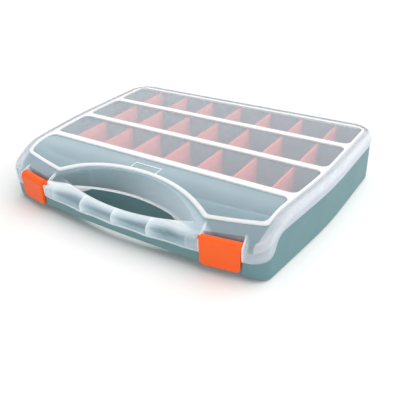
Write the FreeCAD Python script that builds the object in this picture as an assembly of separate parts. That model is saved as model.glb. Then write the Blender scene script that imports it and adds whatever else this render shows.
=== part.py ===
import FreeCAD, Part
import math
import os

os.makedirs("parts", exist_ok=True)
V = FreeCAD.Vector

# Case, measured over the closed lid; X is the width, -Y the handle side, Z up from the floor
case_width = 378.0
case_depth = 290.0
case_height = 60.5
side_bow_share = 0.6103
side_bow_radius = 600.0
side_bow_angle = 6.6
front_bow_radius = 1020.0
rear_corner_radius = 30.0
front_corner_radius = 20.0

# Lid top: flat, then a droop towards the handle
droop_from_front_share = 1.119
droop_radius_share = 1.0744
droop_angle = 26.0
lid_wall = 2.0
panel_thickness = 1.8
frame_step = 2.0
lid_edge_round = 5.0
front_edge_round = 6.0
bead_width = 4.5
groove_width = 4.4
frame_width = 5.5
lobe_inset = 26.0

# Parting between lid and tray: level at the sides, an S-sweep down to the front corners
side_parting_share = 0.7686
corner_parting_share = 0.4066
front_parting_share = 0.3537
sweep_start_from_front = 49.0
sweep_end_from_front = 19.0
lip_height = 4.0

# Handle: lens-shaped hole between a concentric cove and a bar
bar_width = 14.2
bar_rear_radius = 345.0
bar_edge_round = 5.0
hole_from_front = 41.6
arc_from_front = 55.1
arc_radius = 198.3
cove_low_share = 0.5372
grip_pitch = 46.5
grip_segments = 4
grip_depth = 0.9

# Raised tabs beside the handle, and the windows
tab_from_front = 21.2
tab_bow_radius = 800.0
tab_rim = 3.0
arc_rim = 4.0
tab_corner_radius = 10.0
window_corner_radius = 8.0
rib_width = 9.0
rear_window_from_rear = 14.5
label_width = 36.5
label_depth = 12.5
label_line = 1.4
label_height = 0.8

# Tray
skirt_clearance = 0.3
tray_flush = 0.5
parting_gap = 0.3
tray_wall = 2.0
tray_floor = 2.0
lid_clearance = 0.4
tray_edge_round = 3.0
toe_from_front = 28.0
toe_height_share = 0.2314
rear_inner_from_rear = 11.0
first_row_share = 0.2031
row_pitch_share = 0.2283
row_count = 3
tub_front_from_front = 45.5
tub_front_radius = 2000.0
tub_arc_gap = 4.7
hole_clearance = 0.7

# Dividers and their guide ribs
divider_count = 7
divider_pitch_share = 0.123
divider_thickness = 1.5
divider_end_clearance = 0.2
divider_top_clearance = 0.5
divider_corner_radius = 2.0
guide_gap = 0.15
guide_width = 1.2
guide_proud = 1.6
guide_height_share = 0.9

# Latches, pivoted in ears of the lid
latch_x_share = 0.3452
latch_turn = 9.5
latch_width = 42.0
latch_thickness = 3.2
latch_proud = 1.8
latch_low_share = 0.1702
latch_corner_radius = 5.0
barrel_radius = 3.6
barrel_from_face = 4.8
barrel_height_share = 0.6215
trunnion_radius = 1.8
pivot_clearance = 0.05
latch_side_gap = 0.7
ear_thickness = 2.2
ear_drop = 9.6
notch_back = 11.8
latch_recess = 2.2
latch_recess_side = 1.5
ear_clearance = 0.6

# Hinges, one at each side of the rear wall
hinge_x_share = 0.2646
hinge_length = 60.0
hinge_from_rear = 4.3
hinge_drop = 5.0
knuckle_radius = 3.6
tray_knuckle = 12.0
knuckle_gap = 0.5
pin_radius = 1.5
hinge_recess_drop = 9.5
hinge_web_inset = 0.7
rear_lip = 3.5

# Length by which a cutting shape runs past what it cuts
overrun = 5.0

front = -case_depth / 2
rear = case_depth / 2
reach = case_width
side_bow_from_front = side_bow_share * case_depth
droop_from_front = droop_from_front_share * case_height
droop_radius = droop_radius_share * case_height
side_parting = side_parting_share * case_height
corner_parting = corner_parting_share * case_height
front_parting = front_parting_share * case_height
cove_low = cove_low_share * case_height
toe_height = toe_height_share * case_height
first_row_depth = first_row_share * case_depth
row_pitch = row_pitch_share * case_depth
divider_pitch = divider_pitch_share * case_width
latch_x = latch_x_share * case_width
latch_low = latch_low_share * case_height
barrel_height = barrel_height_share * case_height
latch_shoulder = barrel_height - barrel_radius
ear_low = barrel_height - ear_drop
hinge_x = hinge_x_share * case_width
hinge_height = side_parting - hinge_drop
hinge_recess_low = hinge_height - hinge_recess_drop
tray_inset = lid_wall + skirt_clearance
frame_inset = bead_width + groove_width
window_inset = frame_inset + frame_width
sink = frame_step + panel_thickness
arc_y = front + arc_from_front - arc_radius
hole_radius = arc_radius - (arc_from_front - hole_from_front)
front_y = front + front_bow_radius
tub_arc = arc_radius + tub_arc_gap


def line(a, b):
    return Part.makeLine(V(*a), V(*b))


def arc(a, m, b):
    return Part.Arc(V(*a), V(*m), V(*b)).toShape()


def solid_of(edges, sweep):
    return Part.Face(Part.Wire(edges)).extrude(sweep)


def polygon(points, sweep):
    corners = [V(*p) for p in points]
    return Part.Face(Part.makePolygon(corners + corners[:1])).extrude(sweep)


def block(x0, x1, y0, y1, z0, z1):
    return Part.makeBox(x1 - x0, y1 - y0, z1 - z0, V(x0, y0, z0))


def drum(radius, y, z0, z1):
    return Part.makeCylinder(radius, z1 - z0, V(0, y, z0))


def rod(radius, x0, x1, y, z):
    return Part.makeCylinder(radius, x1 - x0, V(x0, y, z), V(1, 0, 0))


def uprights(solid, keep):
    picked = []
    for edge in solid.Edges:
        a, b = edge.Vertexes[0].Point, edge.Vertexes[-1].Point
        if abs(a.x - b.x) + abs(a.y - b.y) < edge.Length / reach and edge.Length > 0 and keep(a):
            picked.append(edge)
    return picked


# Plan outline of the case moved inwards, as an upright prism
def outline(inset, z0, z1, rear_round=rear_corner_radius):
    half, back = case_width / 2 - inset, rear - inset
    side_x, bow_y = case_width / 2 - side_bow_radius, front + side_bow_from_front
    side_r, front_r = side_bow_radius - inset, front_bow_radius - inset
    turn = math.radians(side_bow_angle)
    mid_x, mid_y = side_x + side_r * math.cos(turn / 2), bow_y - side_r * math.sin(turn / 2)
    end_x, end_y = side_x + side_r * math.cos(turn), bow_y - side_r * math.sin(turn)
    # straight flank from the end of the bow to the front circle
    ahead = end_x * math.sin(turn) + (end_y - front_y) * math.cos(turn)
    aside = end_x ** 2 + (end_y - front_y) ** 2 - front_r ** 2
    run = ahead + math.sqrt(ahead ** 2 - aside)
    cx, cy = end_x - run * math.sin(turn), end_y - run * math.cos(turn)
    edges = [
        line((half, back, z0), (-half, back, z0)),
        line((-half, back, z0), (-half, bow_y, z0)),
        arc((-half, bow_y, z0), (-mid_x, mid_y, z0), (-end_x, end_y, z0)),
        line((-end_x, end_y, z0), (-cx, cy, z0)),
        arc((-cx, cy, z0), (0, front + inset, z0), (cx, cy, z0)),
        line((cx, cy, z0), (end_x, end_y, z0)),
        arc((end_x, end_y, z0), (mid_x, mid_y, z0), (half, bow_y, z0)),
        line((half, bow_y, z0), (half, back, z0)),
    ]
    prism = solid_of(edges, V(0, 0, z1 - z0))
    if rear_round:
        prism = prism.makeFillet(rear_round - inset, uprights(prism, lambda p: p.y > back - overrun))
    return prism.makeFillet(front_corner_radius - inset, uprights(prism, lambda p: abs(p.y - cy) < overrun))


# Everything under the lid's top surface moved down
def under_top(drop):
    tilt = math.radians(droop_angle)
    y = front + droop_from_front
    radius = droop_radius - drop
    low = case_height - droop_radius
    top = case_height - drop
    bend = (0, y - radius * math.sin(tilt / 2), low + radius * math.cos(tilt / 2))
    end = (0, y - radius * math.sin(tilt), low + radius * math.cos(tilt))
    toe = (0, end[1] - reach * math.cos(tilt), end[2] - reach * math.sin(tilt))
    edges = [
        line((0, reach, top), (0, y, top)),
        arc((0, y, top), bend, end),
        line(end, toe),
        line(toe, (0, toe[1], -reach)),
        line((0, toe[1], -reach), (0, reach, -reach)),
        line((0, reach, -reach), (0, reach, top)),
    ]
    shape = solid_of(edges, V(2 * reach, 0, 0))
    shape.translate(V(-reach, 0, 0))
    return shape


# Everything above the parting surface, raised
def over_parting(lift):
    y0, y1 = front + sweep_start_from_front, front + sweep_end_from_front
    z0, z1, z2 = side_parting + lift, corner_parting + lift, front_parting + lift
    turn = 2 * math.atan((z0 - z1) / (y0 - y1))
    radius = (y0 - y1) / 2 / math.sin(turn)
    ym, zm = (y0 + y1) / 2, (z0 + z1) / 2
    sag, run = radius * (1 - math.cos(turn / 2)), radius * math.sin(turn / 2)
    edges = [
        line((0, reach, z0), (0, y0, z0)),
        arc((0, y0, z0), (0, y0 - run, z0 - sag), (0, ym, zm)),
        arc((0, ym, zm), (0, y1 + run, z1 + sag), (0, y1, z1)),
        line((0, y1, z1), (0, front, z2)),
        line((0, front, z2), (0, -reach, z2)),
        line((0, -reach, z2), (0, -reach, reach)),
        line((0, -reach, reach), (0, reach, reach)),
        line((0, reach, reach), (0, reach, z0)),
    ]
    shape = solid_of(edges, V(2 * reach, 0, 0))
    shape.translate(V(-reach, 0, 0))
    return shape


# Everything above the tray's underside, raised; the toe slopes up under the handle
def over_underside(lift):
    points = [
        (-reach, reach, lift),
        (-reach, front + toe_from_front, lift),
        (-reach, front, toe_height + lift),
        (-reach, -reach, toe_height + lift),
        (-reach, -reach, reach),
        (-reach, reach, reach),
    ]
    return polygon(points, V(2 * reach, 0, 0))


# Handle opening: a cone behind, the bar's rear face in front, grown outwards
def lens(grow):
    flare = (arc_radius - hole_radius) / (case_height - cove_low)
    high = case_height + overrun
    wide = hole_radius + grow + flare * (high - cove_low)
    low = -overrun
    points = [
        (0, arc_y, low),
        (hole_radius + grow, arc_y, low),
        (hole_radius + grow, arc_y, cove_low),
        (wide, arc_y, high),
        (0, arc_y, high),
    ]
    corners = [V(*p) for p in points]
    face = Part.Face(Part.makePolygon(corners + corners[:1]))
    bowl = face.revolve(V(0, arc_y, 0), V(0, 0, 1), 360)
    return bowl.common(drum(bar_rear_radius + grow, front + bar_width + bar_rear_radius, low, high))


# Ground plan of the tray's tub, grown outwards, as an upright prism
def tub(grow):
    low, high = -overrun, case_height + overrun
    centre = front + tub_front_from_front + tub_front_radius
    wide = drum(tub_front_radius + grow, centre, low, high)
    return wide.cut(drum(tub_arc - grow, arc_y, low, high))


# Latch shapes are drawn at the middle of the front edge, then set at either side
latch_y = front_y - math.sqrt(front_bow_radius ** 2 - latch_x ** 2)


def at_latch(shape, side):
    placed = shape.copy()
    placed.rotate(V(0, 0, 0), V(0, 0, 1), side * latch_turn)
    placed.translate(V(side * latch_x, latch_y, 0))
    return placed


sides = (-1, 1)

# Lid
low, high = -overrun, case_height + overrun
above_panel = block(-reach, reach, -reach, reach, low, high).cut(under_top(frame_step))


# Case outline under the lid's top surface moved down, its rim rounded
def rounded_body(drop, radius):
    body = outline(0, 0, high).common(under_top(drop))
    standing = [edge.hashCode() for edge in uprights(body, lambda p: True)]
    rim = []
    for edge in body.Edges:
        middle = edge.valueAt((edge.FirstParameter + edge.LastParameter) / 2)
        spans_top = abs(middle.x) < overrun and front + overrun < middle.y < rear - overrun
        if middle.z > front_parting and not spans_top and edge.hashCode() not in standing:
            rim.append(edge)
    return body.makeFillet(radius, rim)


bar_y = front + bar_width + bar_rear_radius
core = rounded_body(frame_step, front_edge_round).cut(lens(0))
bar_edges = []
for edge in core.Edges:
    middle = edge.valueAt((edge.FirstParameter + edge.LastParameter) / 2)
    on_bar = abs(math.hypot(middle.x, middle.y - bar_y) - bar_rear_radius) < skirt_clearance
    if on_bar and middle.z > front_parting and middle.y < front + bar_width + overrun:
        bar_edges.append(edge)
core = core.makeFillet(bar_edge_round, bar_edges)

tab_y = front + tab_from_front + tab_bow_radius
tab_drum = drum(tab_bow_radius, tab_y, low, high)
plateau = outline(frame_inset, low, high).common(tab_drum).cut(drum(arc_radius, arc_y, low, high))
plateau = plateau.makeFillet(tab_corner_radius, uprights(plateau, lambda p: p.y < front + droop_from_front))
lobe_x = case_width / 2 - lobe_inset
apron = block(-lobe_x, lobe_x, -reach, front + droop_from_front, low, high)
lowered = outline(bead_width, low, high).fuse(apron).cut(plateau)
shell = core.fuse(rounded_body(0, lid_edge_round).cut(lowered).cut(lens(0)))

row_walls = [rear - rear_inner_from_rear - first_row_depth - i * row_pitch for i in range(row_count)]
row_walls = [y - tray_wall / 2 for y in row_walls]
window_ends = [rear - rear_window_from_rear] + row_walls
inside_frame = outline(window_inset, low, high, 0)
windows = []
for i in range(row_count):
    y0 = row_walls[i] + rib_width / 2
    y1 = window_ends[i] - (rib_width / 2 if i else 0)
    pane = inside_frame.common(block(-reach, reach, y0, y1, low, high))
    near = uprights(pane, lambda p: min(abs(p.y - y0), abs(p.y - y1)) < window_corner_radius / 2)
    windows.append(pane.makeFillet(window_corner_radius, near))
pane = inside_frame.common(block(-reach, reach, front, row_walls[-1] - rib_width / 2, low, high))
pane = pane.common(drum(tab_bow_radius - tab_rim, tab_y, low, high))
pane = pane.cut(drum(arc_radius + arc_rim, arc_y, low, high))
windows.append(pane.makeFillet(window_corner_radius, uprights(pane, lambda p: True)))
for pane in windows:
    shell = shell.cut(pane.common(above_panel))

# Label frame on the front window, behind the arc
label_y = front + arc_from_front + arc_rim
label_x, label_top = label_width / 2, label_y + label_depth
label = block(-label_x, label_x, label_y, label_top, low, high)
inner = block(label_line - label_x, label_x - label_line, label_y, label_top - label_line, low, high)
label = label.cut(inner).common(under_top(frame_step - label_height)).cut(under_top(sink))
shell = shell.fuse(label)

hollow = outline(lid_wall, low, high).common(under_top(sink)).cut(lens(lid_wall))
shell = shell.cut(hollow).cut(lens(0))
cove_zone = lens(lid_wall + overrun).common(block(-reach, reach, front + bar_width, reach, cove_low, high))
shell = shell.common(over_parting(0).fuse(cove_zone))

ear_out = latch_width / 2 + latch_side_gap + ear_thickness
ear_in = latch_width / 2 + latch_side_gap
ears = block(-ear_out, ear_out, 0, notch_back + ear_thickness, ear_low, high)
notch = block(-ear_in, ear_in, -reach, notch_back, low, high)
bore_out = ear_out + overrun
barrel_y = barrel_from_face
for side in sides:
    cheek = at_latch(ears, side).common(under_top(frame_step)).common(outline(0, low, high))
    shell = shell.fuse(cheek).cut(at_latch(notch, side))
    bore = rod(trunnion_radius + pivot_clearance, -bore_out, bore_out, barrel_y, barrel_height)
    shell = shell.cut(at_latch(bore, side))

# Finger hollows along the bar: on its top, its front edge and its front
tilt = math.radians(droop_angle)
grip_radius = grip_pitch ** 2 / (8 * grip_depth) + grip_depth / 2
slope_z = case_height - droop_radius + (droop_radius - frame_step) / math.cos(tilt)
up = V(0, -math.sin(tilt), math.cos(tilt))
for i in range(grip_segments):
    x = (i - (grip_segments - 1) / 2) * grip_pitch
    y = front_y - math.sqrt(front_bow_radius ** 2 - x ** 2)
    out = V(x, y - front_y, 0)
    out.normalize()
    between = up + out
    between.normalize()
    edge_z = slope_z + (y - front - droop_from_front) * math.tan(tilt)
    corner = V(x, y, edge_z)
    spare = front_edge_round / math.cos((math.pi / 2 - tilt) / 2) - front_edge_round
    for normal, point in ((up, corner), (out, corner), (between, corner - between * spare)):
        along = V(1, 0, 0).cross(normal)
        along.normalize()
        middle = point + normal * (grip_radius - grip_depth) - along * bar_width
        shell = shell.cut(Part.makeCylinder(grip_radius, 2 * bar_width, middle, along))

# Lid knuckles
hinge_y = rear - hinge_from_rear
lid_knuckle = hinge_length / 2 - tray_knuckle - knuckle_gap
for side in sides:
    x0, x1 = side * hinge_x - lid_knuckle, side * hinge_x + lid_knuckle
    barrel = rod(knuckle_radius, x0, x1, hinge_y, hinge_height)
    web = block(x0, x1, hinge_y + hinge_web_inset, rear, hinge_height, side_parting + lid_wall)
    bore = rod(pin_radius + pivot_clearance, x0 - overrun, x1 + overrun, hinge_y, hinge_height)
    shell = shell.fuse(barrel.fuse(web)).cut(bore)
shell = shell.removeSplitter()
shell.exportStep("parts/lid.step")

# Tray
body = outline(tray_flush, 0, high)
floor_edges = [e for e in body.Edges if e.BoundBox.ZMax < tray_edge_round / 2]
body = body.makeFillet(tray_edge_round, floor_edges).cut(over_parting(-parting_gap))
body = body.fuse(outline(tray_inset, tray_edge_round, high))
body = body.common(over_underside(0)).common(under_top(sink + lid_clearance))
ahead = block(-reach, reach, -reach, front + sweep_start_from_front, low, high).cut(tub(tray_wall))
body = body.cut(ahead.common(over_parting(lip_height)))

room = outline(tray_inset + tray_wall, low, high).common(over_underside(tray_floor))
rear_face = rear - rear_inner_from_rear
row_ends = [rear_face] + [y - tray_wall / 2 for y in row_walls]
rows = [(row_walls[i] + tray_wall / 2, row_ends[i]) for i in range(row_count)]
for y0, y1 in rows:
    body = body.cut(room.common(block(-reach, reach, y0, y1, low, high)))
bay = room.common(tub(0)).common(block(-reach, reach, -reach, row_ends[-1], low, high))
hole_grow = lid_wall + hole_clearance
apart = room.cut(tub(tray_wall)).cut(lens(hole_grow + tray_wall))
apart = apart.common(block(-reach, reach, -reach, row_ends[-1], low, high))
recess_out = latch_width / 2 + latch_recess_side
backing_out = recess_out + tray_wall
for side in sides:
    backing = block(-backing_out, backing_out, -reach, latch_recess + tray_wall, low, high)
    apart = apart.cut(at_latch(backing, side))
body = body.cut(bay).cut(apart).cut(lens(hole_grow))

# Room for the lid's cove above the tray's hole wall, for the ears and for the latches
cove_room = drum(tub_arc - tray_wall, arc_y, cove_low - lid_clearance, high)
body = body.cut(cove_room.common(drum(bar_rear_radius + hole_grow, bar_y, low, high)))
ear_room = ear_out + ear_clearance
seat_back = notch_back + ear_thickness + ear_clearance
for side in sides:
    swing = block(-recess_out, recess_out, -reach, latch_recess, low, high)
    seat = block(-ear_room, ear_room, -reach, seat_back, ear_low - ear_clearance, high)
    body = body.cut(at_latch(swing, side)).cut(at_latch(seat, side).cut(tub(tray_wall)))

# Rear ledge rolled about the hinge line, clear of the lid's skirt
roll = block(-reach, reach, hinge_y, reach, hinge_height, high)
roll = roll.cut(rod(side_parting - hinge_height - skirt_clearance, -reach, reach, hinge_y, hinge_height))
body = body.cut(roll.cut(outline(tray_inset, low, high)))

# Hollow rear wall with a recess for each hinge
behind = rear_face + tray_wall
channel = room.common(block(-reach, reach, behind, rear, low, high))
for side in sides:
    x0, x1 = side * hinge_x - hinge_length / 2, side * hinge_x + hinge_length / 2
    channel = channel.cut(block(x0 - tray_wall, x1 + tray_wall, behind, rear, low, high))
body = body.cut(channel)
body = body.cut(block(-reach, reach, behind, reach, side_parting + rear_lip, high))
for side in sides:
    x0, x1 = side * hinge_x - hinge_length / 2, side * hinge_x + hinge_length / 2
    body = body.cut(block(x0, x1, behind, reach, hinge_recess_low, high))
    under = hinge_recess_low - tray_floor
    body = body.cut(block(x0, x1, behind, rear - tray_flush - tray_wall, low, under))
    for a, b in ((x0, x0 + tray_knuckle), (x1 - tray_knuckle, x1)):
        barrel = rod(knuckle_radius, a, b, hinge_y, hinge_height)
        web_low, web_high = hinge_height - knuckle_radius, hinge_height + knuckle_radius
        web = block(a, b, behind - tray_wall / 2, hinge_y, web_low, web_high)
        body = body.fuse(barrel.fuse(web))
    bore = rod(pin_radius + pivot_clearance, x0, x1, hinge_y, hinge_height)
    body = body.cut(bore)

# Guide ribs that hold the dividers upright
divider_x = [(i - (divider_count - 1) / 2) * divider_pitch for i in range(divider_count)]
divider_top = case_height - sink - divider_top_clearance
guide_top = tray_floor + guide_height_share * (divider_top - tray_floor)
guides = []
root = tray_wall / 2
for y0, y1 in rows:
    for x in divider_x:
        for side in sides:
            a = x + side * (divider_thickness / 2 + guide_gap)
            xs = sorted((a, a + side * guide_width))
            for ys in ((y0 - root, y0 + guide_proud), (y1 - guide_proud, y1 + root)):
                guides.append(block(xs[0], xs[1], ys[0], ys[1], tray_floor / 2, guide_top))
body = body.fuse(guides).removeSplitter()
body.exportStep("parts/tray.step")

# Dividers
half_plate = divider_thickness / 2
for row, (y0, y1) in enumerate(rows, 1):
    for place, x in enumerate(divider_x, 1):
        near, far = y0 + divider_end_clearance, y1 - divider_end_clearance
        plate = block(x - half_plate, x + half_plate, near, far, tray_floor, divider_top)
        corners = [e for e in plate.Edges if e.BoundBox.ZMin > tray_floor and e.BoundBox.YLength == 0]
        plate = plate.makeFillet(divider_corner_radius, [e for e in corners if e.BoundBox.XLength > 0])
        plate.exportStep("parts/divider_%d_%d.step" % (row, place))

# Latches
face_y, back_y = -latch_proud, latch_thickness - latch_proud
top_z, foot_z = barrel_height + barrel_radius, barrel_height - barrel_radius
bend = math.sqrt(0.5)
start = -latch_width / 2
barrel_rear = (start, barrel_y + barrel_radius, barrel_height)
shoulder_z = latch_shoulder + (top_z - latch_shoulder) * bend
shoulder = (start, face_y + (barrel_y - face_y) * (1 - bend), shoulder_z)
edges = [
    line((start, face_y, latch_low), (start, face_y, latch_shoulder)),
    arc((start, face_y, latch_shoulder), shoulder, (start, barrel_y, top_z)),
    arc((start, barrel_y, top_z), barrel_rear, (start, barrel_y, foot_z)),
    line((start, barrel_y, foot_z), (start, back_y, foot_z - barrel_y + back_y)),
    line((start, back_y, foot_z - barrel_y + back_y), (start, back_y, latch_low)),
    line((start, back_y, latch_low), (start, face_y, latch_low)),
]
latch = solid_of(edges, V(latch_width, 0, 0))
latch_feet = [e for e in latch.Edges if e.BoundBox.ZMax < latch_low + latch_corner_radius]
latch_corners = [e for e in latch_feet if e.BoundBox.YLength > latch_thickness / 2]
latch = latch.makeFillet(latch_corner_radius, latch_corners)
latch = latch.fuse(rod(trunnion_radius, -ear_out, ear_out, barrel_y, barrel_height)).removeSplitter()
for side, name in zip(sides, ("left", "right")):
    at_latch(latch, side).exportStep("parts/latch_%s.step" % name)

# Hinge pins
for side, name in zip(sides, ("left", "right")):
    x0, x1 = side * hinge_x - hinge_length / 2, side * hinge_x + hinge_length / 2
    pin = rod(pin_radius, x0 + knuckle_gap, x1 - knuckle_gap, hinge_y, hinge_height)
    pin.exportStep("parts/hinge_pin_%s.step" % name)
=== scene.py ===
import math

import bpy
from mathutils import Matrix, Vector

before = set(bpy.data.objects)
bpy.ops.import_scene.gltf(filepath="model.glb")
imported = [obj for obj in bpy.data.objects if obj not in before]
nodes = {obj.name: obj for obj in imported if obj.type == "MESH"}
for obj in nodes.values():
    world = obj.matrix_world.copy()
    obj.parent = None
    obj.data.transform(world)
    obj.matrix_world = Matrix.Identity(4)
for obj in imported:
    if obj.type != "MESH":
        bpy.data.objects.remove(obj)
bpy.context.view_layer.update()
bpy.ops.object.select_all(action="DESELECT")

MM = 0.001

# Shared tools for the materials

UNIT = (0.0, 1.0)
SMOOTH = {"interpolation_type": "SMOOTHSTEP"}
# sockets of a Mix node that is set to colour
FACTOR, COLOUR_A, COLOUR_B, COLOUR_OUT = 0, 6, 7, 2


def linear(hex_colour):
    """sRGB hex value to the linear colour that a shader reads."""
    parts = [int(hex_colour[i:i + 2], 16) / 255 for i in (1, 3, 5)]
    return [p / 12.92 if p <= 0.04045 else ((p + 0.055) / 1.055) ** 2.4 for p in parts] + [1.0]


def add(tree, kind, inputs=(), output=0, **settings):
    """One node with its settings. An input is a value or the socket that feeds it. Gives one output."""
    node = tree.nodes.new("ShaderNode" + kind)
    for name, value in settings.items():
        setattr(node, name, value)
    for key, value in inputs.items() if isinstance(inputs, dict) else enumerate(inputs):
        if isinstance(value, bpy.types.NodeSocket):
            tree.links.new(value, node.inputs[key])
        else:
            node.inputs[key].default_value = value
    return node.outputs[output]


def new_material(name):
    material = bpy.data.materials.new(name)
    material.use_nodes = True
    tree = material.node_tree
    return material, tree, tree.nodes["Principled BSDF"]


# Tray, latches and dividers: coloured plastic

PLASTIC_IOR = 1.49
PLASTIC_SPECULAR = 0.3
CLOUD_DETAIL = 3.0
GRAIN_DETAIL = 2.0
FLOW_SIZE = 45.0 * MM
FLOW_LIMITS = (0.3, 0.7)
GRAIN_STRENGTH = 0.6
GLOSS_BELOW, GLOSS_ABOVE = 0.05, 0.07


def moulded_plastic(name, pale, deep, roughness, grain_size, grain_depth):
    """Injection-moulded polypropylene: one colour through the wall, a faint cloudiness from the melt
    flow and a fine spark-eroded grain that softens the gloss."""
    material, tree, shader = new_material(name)
    place = add(tree, "TexCoord", output="Object")
    # melt flow shows as clouds a few centimetres across
    clouds = add(tree, "TexNoise", {"Vector": place, "Scale": 1 / FLOW_SIZE, "Detail": CLOUD_DETAIL})
    spread = add(tree, "MapRange", [clouds, *FLOW_LIMITS])
    shades = {FACTOR: spread, COLOUR_A: linear(deep), COLOUR_B: linear(pale)}
    colour = add(tree, "Mix", shades, COLOUR_OUT, data_type="RGBA")
    # the eroded grain is some tenths of a millimetre, too fine to show, so it is drawn coarser
    grain = add(tree, "TexNoise", {"Vector": place, "Scale": 1 / grain_size, "Detail": GRAIN_DETAIL})
    relief = add(tree, "Bump", {"Height": grain, "Distance": grain_depth, "Strength": GRAIN_STRENGTH})
    gloss = add(tree, "MapRange", [grain, *UNIT, roughness - GLOSS_BELOW, roughness + GLOSS_ABOVE])
    tree.links.new(colour, shader.inputs["Base Color"])
    tree.links.new(gloss, shader.inputs["Roughness"])
    tree.links.new(relief, shader.inputs["Normal"])
    shader.inputs["IOR"].default_value = PLASTIC_IOR
    shader.inputs["Specular IOR Level"].default_value = PLASTIC_SPECULAR
    return material


# Lid: unpigmented plastic, whose walls differ in thickness

# How milky one face of each wall is, and its tint
RIB = (0.84, "#F4F6F9")
WINDOW = (0.115, "#E2E7F2")
BAY = (0.2, "#CDE2EE")
APRON = (0.2, "#CDE2EE")
RAIL = (0.46, "#D6DBE3")
SKIRT = (0.39, "#CAD1DB")
# the cove's veil runs from its left end to its right end as painted shade and painted light
COVE_SHADED_LEFT, COVE_LIT_RIGHT, COVE_TINT = 0.11, 0.5, "#CBDCE7"
HOLLOW = (0.16, "#C4DCE9")
# a near-white painted highlight along the bar's rolled rear edge
ROLL_HIGHLIGHT = (0.92, "#EDF4FA")
# the cove's lower edge, partly the wall seen end-on and partly a painted highlight, and the bar's lower
# edge, a painted highlight
COVE_LIP_HIGHLIGHT = (0.96, "#FAFBFC")
BAR_LIP_HIGHLIGHT = (0.5, "#E2ECF4")
EAR = (0.75, "#E2ECF4")

# Seen from the side: a flat top, then an arc and a slope down to the handle
LID_TOP = 60.5 * MM
DROOP_Y = -77.3 * MM
DROOP_RADIUS = 65.0 * MM
DROOP_TURN = math.radians(26.0)
FRAME_STEP = 2.0 * MM
WINDOW_DEPTHS = (0.64 * FRAME_STEP, 0.92 * FRAME_STEP)
SKIRT_DEPTHS = (2.6 * FRAME_STEP, 3.6 * FRAME_STEP)


def depth_below_top(tree, y, z):
    """How far a point of the lid lies below its top surface, which droops towards the handle."""
    ahead = add(tree, "Math", [DROOP_Y, y], operation="SUBTRACT")
    ahead = add(tree, "Math", [ahead, 0.0], operation="MAXIMUM")
    arc_run = DROOP_RADIUS * math.sin(DROOP_TURN)
    on_arc = add(tree, "Math", [ahead, arc_run], operation="MINIMUM")
    square = add(tree, "Math", [on_arc, on_arc], operation="MULTIPLY")
    height = add(tree, "Math", [DROOP_RADIUS ** 2, square], operation="SUBTRACT")
    height = add(tree, "Math", [height], operation="SQRT")
    past_arc = add(tree, "Math", [ahead, on_arc], operation="SUBTRACT")
    top = add(tree, "Math", [past_arc, -math.tan(DROOP_TURN), height], operation="MULTIPLY_ADD")
    below = add(tree, "Math", [top, z], operation="SUBTRACT")
    return add(tree, "Math", [below, LID_TOP - DROOP_RADIUS], operation="ADD")


# Front bay, and the bowed apron between its rim and the latches
BAY_STARTS = (-60.0 * MM, -64.0 * MM)
APRON_Y = -125.0 * MM
APRON_RADIUS = 800.0 * MM
APRON_BLEND = (-1.0 * MM, 3.0 * MM)


def window_zones(tree, x, y, depth):
    """Thin sunken walls: the windows over the rows, the front bay and the apron by the latches."""
    window = add(tree, "MapRange", [depth, *WINDOW_DEPTHS], **SMOOTH)
    bay = add(tree, "MapRange", [y, *BAY_STARTS], **SMOOTH)
    bay = add(tree, "Math", [bay, window], operation="MULTIPLY")
    # a shallow arc rises by the square of the run over twice its radius
    square = add(tree, "Math", [x, x], operation="MULTIPLY")
    bow = add(tree, "Math", [square, 0.5 / APRON_RADIUS, APRON_Y], operation="MULTIPLY_ADD")
    apron = add(tree, "Math", [bow, y], operation="SUBTRACT")
    apron = add(tree, "MapRange", [apron, *APRON_BLEND], **SMOOTH)
    return [(window, *WINDOW), (bay, *BAY), (apron, *APRON)]


# Side rails: straight, then bowed in, then straight to the front corner
HALF_WIDTH = 189.0 * MM
REAR_Y = 145.0 * MM
BOW_Y = 32.0 * MM
BOW_RADIUS = 600.0 * MM
BOW_RUN = 69.0 * MM
FLANK_SLOPE = math.tan(math.radians(6.6))
RAIL_WIDTH = 11.0 * MM
RAIL_BLEND = (1.1 * RAIL_WIDTH, 0.9 * RAIL_WIDTH)


def rail_zones(tree, x, y, depth):
    """The rails along both sides and the rear, thicker than the windows, and the skirt below them."""
    ahead = add(tree, "Math", [BOW_Y, y], operation="SUBTRACT")
    ahead = add(tree, "Math", [ahead, 0.0], operation="MAXIMUM")
    on_bow = add(tree, "Math", [ahead, BOW_RUN], operation="MINIMUM")
    square = add(tree, "Math", [on_bow, on_bow], operation="MULTIPLY")
    on_flank = add(tree, "Math", [ahead, on_bow], operation="SUBTRACT")
    side = add(tree, "Math", [square, -0.5 / BOW_RADIUS, HALF_WIDTH], operation="MULTIPLY_ADD")
    side = add(tree, "Math", [on_flank, -FLANK_SLOPE, side], operation="MULTIPLY_ADD")
    aside = add(tree, "Math", [x], operation="ABSOLUTE")
    from_side = add(tree, "Math", [side, aside], operation="SUBTRACT")
    from_rear = add(tree, "Math", [REAR_Y, y], operation="SUBTRACT")
    from_edge = add(tree, "Math", [from_side, from_rear], operation="MINIMUM")
    rail = add(tree, "MapRange", [from_edge, *RAIL_BLEND], **SMOOTH)
    skirt = add(tree, "MapRange", [depth, *SKIRT_DEPTHS], **SMOOTH)
    return [(rail, *RAIL), (skirt, *SKIRT)]
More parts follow.
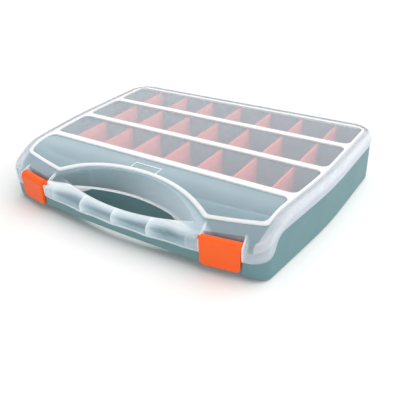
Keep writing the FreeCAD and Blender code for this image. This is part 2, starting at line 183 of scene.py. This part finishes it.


# Handle: the cove behind the opening, the bar in front of it, and a lip along each lower edge, drawn
# near white as a painted highlight
COVE_CENTRE = (0.0, -288.2 * MM, 0.0)
COVE_RADIUS = 199.6 * MM
COVE_BLEND = (COVE_RADIUS + 1.0 * MM, COVE_RADIUS - 6.0 * MM)
# the run over which the cove's painted shade turns to painted light
COVE_SHADE_RUN = (-55.8 * MM, 93.0 * MM)
COVE_LOW_Z = 32.5 * MM
# height of the painted highlight along the cove's lower edge
COVE_LIP_HIGHLIGHT_BLEND = (COVE_LOW_Z + 1.8 * MM, COVE_LOW_Z + 1.2 * MM)
BAR_REAR_Y = -130.2 * MM
BAR_REAR_RADIUS = 345.0 * MM
BAR_REAR_RISE = 4.5 * MM
BAR_REAR_ENDS = (65.0 * MM, 105.0 * MM)
BAR_REAR_BLEND = (-1.0 * MM, 1.5 * MM)
BAR_END_BLEND = (112.0 * MM, 106.0 * MM)
BAR_LOW_Z = 21.4 * MM
# height of the painted highlight along the bar's lower edge
BAR_LIP_HIGHLIGHT_BLEND = (BAR_LOW_Z + 2.8 * MM, BAR_LOW_Z + 2.2 * MM)

# Finger places on the bar, counted from far enough aside that the count is never below zero
GRIP_PITCH = 46.5 * MM
GRIPS_ASIDE = 10.0
# painted highlight beside each finger place's left end: how fast it fades, and how it weakens towards
# the outer ends
RIDGE_HIGHLIGHT_FADE = 0.22
OUTER_RIDGE_HIGHLIGHTS = (60.0 * MM, 85.0 * MM)
OUTER_RIDGE_HIGHLIGHT_SHARE = 0.5
# painted highlight along the rolled rear edge: how far forward it fades, and its limits
ROLL_HIGHLIGHT_DEPTH = 15.0 * MM
ROLL_HIGHLIGHT_LIMITS = (0.1, 0.9)
# painted shade at the bar's right end
RIGHT_END_SHADE = (75.0 * MM, 100.0 * MM)
RIGHT_END_SHADE_SHARE = 0.45


def ahead_of_bar_edge(tree, x, y):
    """How far a point lies in front of the bar's bowed rear edge."""
    square = add(tree, "Math", [x, x], operation="MULTIPLY")
    rise = add(tree, "Math", [square, 0.5 / BAR_REAR_RADIUS], operation="MULTIPLY")
    aside = add(tree, "Math", [x], operation="ABSOLUTE")
    most = add(tree, "MapRange", [aside, *BAR_REAR_ENDS, BAR_REAR_RISE, 0.0], **SMOOTH)
    rise = add(tree, "Math", [rise, most], operation="MINIMUM")
    rear = add(tree, "Math", [rise, BAR_REAR_Y], operation="ADD")
    return add(tree, "Math", [rear, y], operation="SUBTRACT")


def grip_roll_highlight(tree, x, ahead):
    """Painted highlight along the rolled rear edge and beside the left end of each finger place, fading
    rightwards into less milky hollows. Painted shade makes the bar's right end less milky and darker."""
    aside = add(tree, "Math", [x], operation="ABSOLUTE")
    along = add(tree, "Math", [x, 1 / GRIP_PITCH, GRIPS_ASIDE], operation="MULTIPLY_ADD")
    along = add(tree, "Math", [along], operation="FRACT")
    along = add(tree, "Math", [along, RIDGE_HIGHLIGHT_FADE], operation="POWER")
    height = add(tree, "MapRange", [aside, *OUTER_RIDGE_HIGHLIGHTS, 1.0, OUTER_RIDGE_HIGHLIGHT_SHARE], **SMOOTH)
    ridge_highlight = add(tree, "MapRange", [along, *UNIT, height, 0.0])
    edge = add(tree, "MapRange", [ahead, 0.0, ROLL_HIGHLIGHT_DEPTH, 1.0, 0.0])
    roll_highlight = add(tree, "Math", [ridge_highlight, ridge_highlight], operation="MULTIPLY")
    roll_highlight = add(tree, "Math", [edge, edge, roll_highlight], operation="MULTIPLY_ADD")
    roll_highlight = add(tree, "Math", [roll_highlight], operation="SQRT")
    roll_highlight = add(tree, "MapRange", [roll_highlight, *ROLL_HIGHLIGHT_LIMITS], **SMOOTH)
    # painted shade: the bar's right end is drawn less milky, so darker
    clearer = add(tree, "MapRange", [x, *RIGHT_END_SHADE, 1.0, RIGHT_END_SHADE_SHARE], **SMOOTH)
    return add(tree, "Math", [roll_highlight, clearer], operation="MULTIPLY")


def handle_zones(tree, place, x, y, z):
    """The cove and the bar of the handle, and the solid lips along their lower edges, drawn near white
    as painted highlights.
    """
    from_centre = add(tree, "VectorMath", [place, COVE_CENTRE], operation="SUBTRACT")
    level = add(tree, "VectorMath", [from_centre, (1.0, 1.0, 0.0)], operation="MULTIPLY")
    radius = add(tree, "VectorMath", [level], "Value", operation="LENGTH")
    cove = add(tree, "MapRange", [radius, *COVE_BLEND], **SMOOTH)
    # painted light and shade: the cove is drawn milkier and lighter towards its right end, clearer and
    # darker at its left
    cove_painted_light_and_shade = add(tree, "MapRange", [x, *COVE_SHADE_RUN, COVE_SHADED_LEFT, COVE_LIT_RIGHT], **SMOOTH)

    ahead = ahead_of_bar_edge(tree, x, y)
    front = add(tree, "MapRange", [ahead, *BAR_REAR_BLEND], **SMOOTH)
    aside = add(tree, "Math", [x], operation="ABSOLUTE")
    between = add(tree, "MapRange", [aside, *BAR_END_BLEND], **SMOOTH)
    bar = add(tree, "Math", [front, between], operation="MULTIPLY")
    # painted highlights on the bar: along its rolled edge and beside each finger place's left end
    roll_highlight = add(tree, "Math", [grip_roll_highlight(tree, x, ahead), bar], operation="MULTIPLY")

    # painted highlights along the lower edges of the cove and the bar
    cove_lip_highlight = add(tree, "MapRange", [z, *COVE_LIP_HIGHLIGHT_BLEND], **SMOOTH)
    cove_lip_highlight = add(tree, "Math", [cove_lip_highlight, cove], operation="MULTIPLY")
    behind = add(tree, "Math", [1.0, front], operation="SUBTRACT")
    cove_lip_highlight = add(tree, "Math", [cove_lip_highlight, behind], operation="MULTIPLY")
    bar_lip_highlight = add(tree, "MapRange", [z, *BAR_LIP_HIGHLIGHT_BLEND], **SMOOTH)
    return [(cove, cove_painted_light_and_shade, COVE_TINT), (bar, *HOLLOW), (roll_highlight, *ROLL_HIGHLIGHT),
            (cove_lip_highlight, *COVE_LIP_HIGHLIGHT), (bar_lip_highlight, *BAR_LIP_HIGHLIGHT)]


# Each latch sits between two ears of the lid, turned a little to follow the front
LATCH_X = 129.69 * MM
LATCH_Y = -131.89 * MM
LATCH_TURN = math.radians(9.5)
EAR_INNER_BLEND = (20.6 * MM, 21.2 * MM)
EAR_OUTER_BLEND = (24.5 * MM, 22.6 * MM)
EAR_STARTS = (-118.0 * MM, -124.0 * MM)


def ear_zones(tree, x, y):
    """The solid ears of the lid on both sides of each latch."""
    from_x = add(tree, "Math", [x], operation="ABSOLUTE")
    from_x = add(tree, "Math", [from_x, LATCH_X], operation="SUBTRACT")
    from_y = add(tree, "Math", [y, LATCH_Y], operation="SUBTRACT")
    aside = add(tree, "Math", [from_x, math.cos(LATCH_TURN)], operation="MULTIPLY")
    aside = add(tree, "Math", [from_y, math.sin(LATCH_TURN), aside], operation="MULTIPLY_ADD")
    aside = add(tree, "Math", [aside], operation="ABSOLUTE")
    ear = add(tree, "MapRange", [aside, *EAR_INNER_BLEND], **SMOOTH)
    for value, limits in ((aside, EAR_OUTER_BLEND), (y, EAR_STARTS)):
        within = add(tree, "MapRange", [value, *limits], **SMOOTH)
        ear = add(tree, "Math", [ear, within], operation="MULTIPLY")
    return [(ear, *EAR)]


MILK_SIZE = 30.0 * MM
MILK_SPREAD = (0.92, 1.08)
SLANT_BLEND = 0.5
SLANT_LEAST = 0.25
HELD_BACK = 0.15
FROST_SIZE = 0.8 * MM
FROST_DEPTH = 0.02 * MM
FROST_STRENGTH = 0.5
FROST_GLOSS = (0.24, 0.38)
SCATTER_SHARE = 0.5
SCATTER_RADIUS = (1.0, 1.0, 1.0)
SCATTER_DEPTH = 4.0 * MM


def wall_veil(tree, place, veil):
    """How much a wall hides: clouded by the melt, more at a slant, less for the light that enters."""
    # cloudiness of the milky melt, a few centimetres across
    clouds = add(tree, "TexNoise", {"Vector": place, "Scale": 1 / MILK_SIZE, "Detail": CLOUD_DETAIL})
    cloudy = add(tree, "MapRange", [clouds, *UNIT, *MILK_SPREAD])
    veil = add(tree, "Math", [veil, cloudy], operation="MULTIPLY")
    # light crosses more of a wall that is seen at a slant, so it looks milkier there
    slant = add(tree, "LayerWeight", [SLANT_BLEND], "Facing")
    square_on = add(tree, "MapRange", [slant, 0.0, 1.0 - SLANT_LEAST, 1.0, SLANT_LEAST])
    path_length = add(tree, "Math", [1.0, square_on], operation="DIVIDE")
    clear = add(tree, "Math", [1.0, veil], operation="SUBTRACT")
    clear = add(tree, "Math", [clear, path_length], operation="POWER")
    veil = add(tree, "Math", [1.0, clear], operation="SUBTRACT")
    # most of what a milky wall scatters goes on forwards, so it still lights the inside
    rays = add(tree, "LightPath").node.outputs
    lights = [rays["Is Shadow Ray"], rays["Is Diffuse Ray"]]
    entering = add(tree, "Math", lights, operation="MAXIMUM")
    held_back = add(tree, "MapRange", [entering, *UNIT, 1.0, HELD_BACK])
    return add(tree, "Math", [veil, held_back], operation="MULTIPLY")


def lid_polypropylene():
    """Natural polypropylene, left unpigmented: milky white where the wall is thick or edge-on, clearer
    and a little bluer in the thin windows, with a frosted skin. A wall has two faces, so its veil is
    shared between them."""
    material, tree, shader = new_material("natural_polypropylene")
    place = add(tree, "TexCoord", output="Object")
    x, y, z = add(tree, "SeparateXYZ", [place]).node.outputs
    depth = depth_below_top(tree, y, z)

    # the ribs and rims are the thickest, and each zone after them has its own veil and tint; the
    # handle's zones add painted highlights and painted shade
    veil, tint = RIB[0], linear(RIB[1])
    zones = window_zones(tree, x, y, depth) + rail_zones(tree, x, y, depth)
    zones += handle_zones(tree, place, x, y, z) + ear_zones(tree, x, y)
    for zone, zone_veil, zone_tint in zones:
        veil = add(tree, "MapRange", [zone, *UNIT, veil, zone_veil])
        tints = {FACTOR: zone, COLOUR_A: tint, COLOUR_B: linear(zone_tint)}
        tint = add(tree, "Mix", tints, COLOUR_OUT, data_type="RGBA")

    # frosted skin: the grain is about half a millimetre, and is drawn coarser so that it shows
    grain = add(tree, "TexNoise", {"Vector": place, "Scale": 1 / FROST_SIZE, "Detail": GRAIN_DETAIL})
    relief = add(tree, "Bump", {"Height": grain, "Distance": FROST_DEPTH, "Strength": FROST_STRENGTH})
    gloss = add(tree, "MapRange", [grain, *UNIT, *FROST_GLOSS])
    tree.links.new(tint, shader.inputs["Base Color"])
    tree.links.new(wall_veil(tree, place, veil), shader.inputs["Alpha"])
    tree.links.new(gloss, shader.inputs["Roughness"])
    tree.links.new(relief, shader.inputs["Normal"])
    shader.inputs["IOR"].default_value = PLASTIC_IOR
    shader.inputs["Subsurface Weight"].default_value = SCATTER_SHARE
    shader.inputs["Subsurface Radius"].default_value = SCATTER_RADIUS
    shader.inputs["Subsurface Scale"].default_value = SCATTER_DEPTH
    return material


# Hinge pins

STEEL_TINT = "#C8CACC"
MARK_LENGTH = 20.0 * MM
MARK_SPACING = 0.2 * MM
STEEL_GLOSS = (0.25, 0.45)


def drawn_steel():
    """Drawn steel wire: bright, with fine lines along its length."""
    material, tree, shader = new_material("drawn_steel")
    place = add(tree, "TexCoord", output="Object")
    # draw marks run along the pin, a fifth of a millimetre apart
    scale = (1 / MARK_LENGTH, 1 / MARK_SPACING, 1 / MARK_SPACING)
    stretched = add(tree, "Mapping", {"Vector": place, "Scale": scale})
    marks = add(tree, "TexNoise", {"Vector": stretched, "Scale": 1.0})
    gloss = add(tree, "MapRange", [marks, *UNIT, *STEEL_GLOSS])
    tree.links.new(gloss, shader.inputs["Roughness"])
    shader.inputs["Base Color"].default_value = linear(STEEL_TINT)
    shader.inputs["Metallic"].default_value = 1.0
    return material


# Each CAD node takes the finish of its kind, which its name starts with

finishes = {
    "tray": moulded_plastic("teal_polypropylene", pale="#688D92", deep="#63868B",
                            roughness=0.44, grain_size=0.9 * MM, grain_depth=0.03 * MM),
    "latch": moulded_plastic("orange_polypropylene", pale="#FA631D", deep="#F65D18",
                             roughness=0.46, grain_size=0.8 * MM, grain_depth=0.02 * MM),
    "divider": moulded_plastic("coral_polypropylene", pale="#FF8E7C", deep="#FE8775",
                               roughness=0.42, grain_size=0.8 * MM, grain_depth=0.02 * MM),
    "lid": lid_polypropylene(),
    "hinge": drawn_steel(),
}
for name, node in nodes.items():
    node.material_slots[0].material = finishes[name.split("_")[0]]

# Floor: a plain sweep of white paper

FLOOR_SIZE = 14.0
FLOOR_DROP = 0.1 * MM
PAPER_TONES = ("#F6F6F5", "#F8F8F7")
PAPER_PATCH = 60.0 * MM
PAPER_ROUGHNESS = 0.9
PAPER_SPECULAR = 0.1


def white_paper():
    """Matt white paper: faintly uneven in tone, without gloss."""
    material, tree, shader = new_material("white_paper")
    place = add(tree, "TexCoord", output="Object")
    # unevenness of the sheet, in patches of a few centimetres
    fibre = add(tree, "TexNoise", {"Vector": place, "Scale": 1 / PAPER_PATCH})
    grey, white = PAPER_TONES
    shades = {FACTOR: fibre, COLOUR_A: linear(grey), COLOUR_B: linear(white)}
    tone = add(tree, "Mix", shades, COLOUR_OUT, data_type="RGBA")
    tree.links.new(tone, shader.inputs["Base Color"])
    shader.inputs["Roughness"].default_value = PAPER_ROUGHNESS
    shader.inputs["Specular IOR Level"].default_value = PAPER_SPECULAR
    return material


bpy.ops.mesh.primitive_plane_add(size=FLOOR_SIZE, location=(0.0, 0.0, -FLOOR_DROP))
floor = bpy.context.object
floor.name = "floor"
floor.data.materials.append(white_paper())

# World: a soft even tent, seen as white by the camera and in reflections

TENT_LIGHT = 0.4
TENT_SEEN = 1.0

world = bpy.data.worlds.new("studio_tent")
bpy.context.scene.world = world
world.use_nodes = True
sky = world.node_tree
rays = add(sky, "LightPath").node.outputs
seen = [rays["Is Camera Ray"], rays["Is Transmission Ray"]]
seen = add(sky, "Math", seen, operation="MAXIMUM")
seen = add(sky, "Math", [seen, rays["Is Glossy Ray"]], operation="MAXIMUM")
tent = add(sky, "MapRange", [seen, *UNIT, TENT_LIGHT, TENT_SEEN])
background = sky.nodes["Background"]
background.inputs["Color"].default_value = (1.0, 1.0, 1.0, 1.0)
sky.links.new(tent, background.inputs["Strength"])

# Lamps: a broad key from the rear right, and a low fill in front

KEY_PLACE, KEY_AIM = (0.75, 0.6, 1.3), (0.0, 0.0, 0.0)
KEY_ENERGY = 2.75
KEY_SPREAD = math.radians(100)
FILL_PLACE, FILL_AIM = (0.2, -1.3, 0.4), (0.0, -0.05, 0.03)
FILL_ENERGY = 3.4
FILL_WIDTH, FILL_HEIGHT = 1.2, 0.5


def lamp(name, kind, place, aim, **settings):
    data = bpy.data.lights.new(name, kind)
    for key, value in settings.items():
        setattr(data, key, value)
    light = bpy.data.objects.new(name, data)
    bpy.context.scene.collection.objects.link(light)
    light.location = place
    light.rotation_euler = (Vector(aim) - Vector(place)).to_track_quat("-Z", "Y").to_euler()


lamp("key_softbox", "SUN", KEY_PLACE, KEY_AIM, energy=KEY_ENERGY, angle=KEY_SPREAD)
lamp("front_fill", "AREA", FILL_PLACE, FILL_AIM, energy=FILL_ENERGY, shape="RECTANGLE",
     size=FILL_WIDTH, size_y=FILL_HEIGHT)

# Camera, from the photograph's own perspective

CAMERA_PLACE = (338.47 * MM, -460.16 * MM, 319.22 * MM)
CAMERA_AZIMUTH = math.radians(35.099)
CAMERA_ELEVATION = math.radians(31.14)
CAMERA_ROLL = math.radians(-3.053)
FOCAL_PIXELS = 509.902
FRAME_PIXELS = 400.0
SENSOR = 36.0

right = Vector((math.cos(CAMERA_AZIMUTH), math.sin(CAMERA_AZIMUTH), 0.0))
back = Vector((math.sin(CAMERA_AZIMUTH) * math.cos(CAMERA_ELEVATION),
               -math.cos(CAMERA_AZIMUTH) * math.cos(CAMERA_ELEVATION),
               math.sin(CAMERA_ELEVATION)))
up = back.cross(right)
across = right * math.cos(CAMERA_ROLL) + up * math.sin(CAMERA_ROLL)
upright = up * math.cos(CAMERA_ROLL) - right * math.sin(CAMERA_ROLL)
camera_data = bpy.data.cameras.new("photo_camera")
camera_data.sensor_width = SENSOR
camera_data.lens = SENSOR * FOCAL_PIXELS / FRAME_PIXELS
camera = bpy.data.objects.new("photo_camera", camera_data)
bpy.context.scene.collection.objects.link(camera)
turn = Matrix((across, upright, back)).transposed().to_4x4()
camera.matrix_world = Matrix.Translation(CAMERA_PLACE) @ turn
bpy.context.scene.camera = camera
bpy.context.scene.view_settings.view_transform = "Standard"
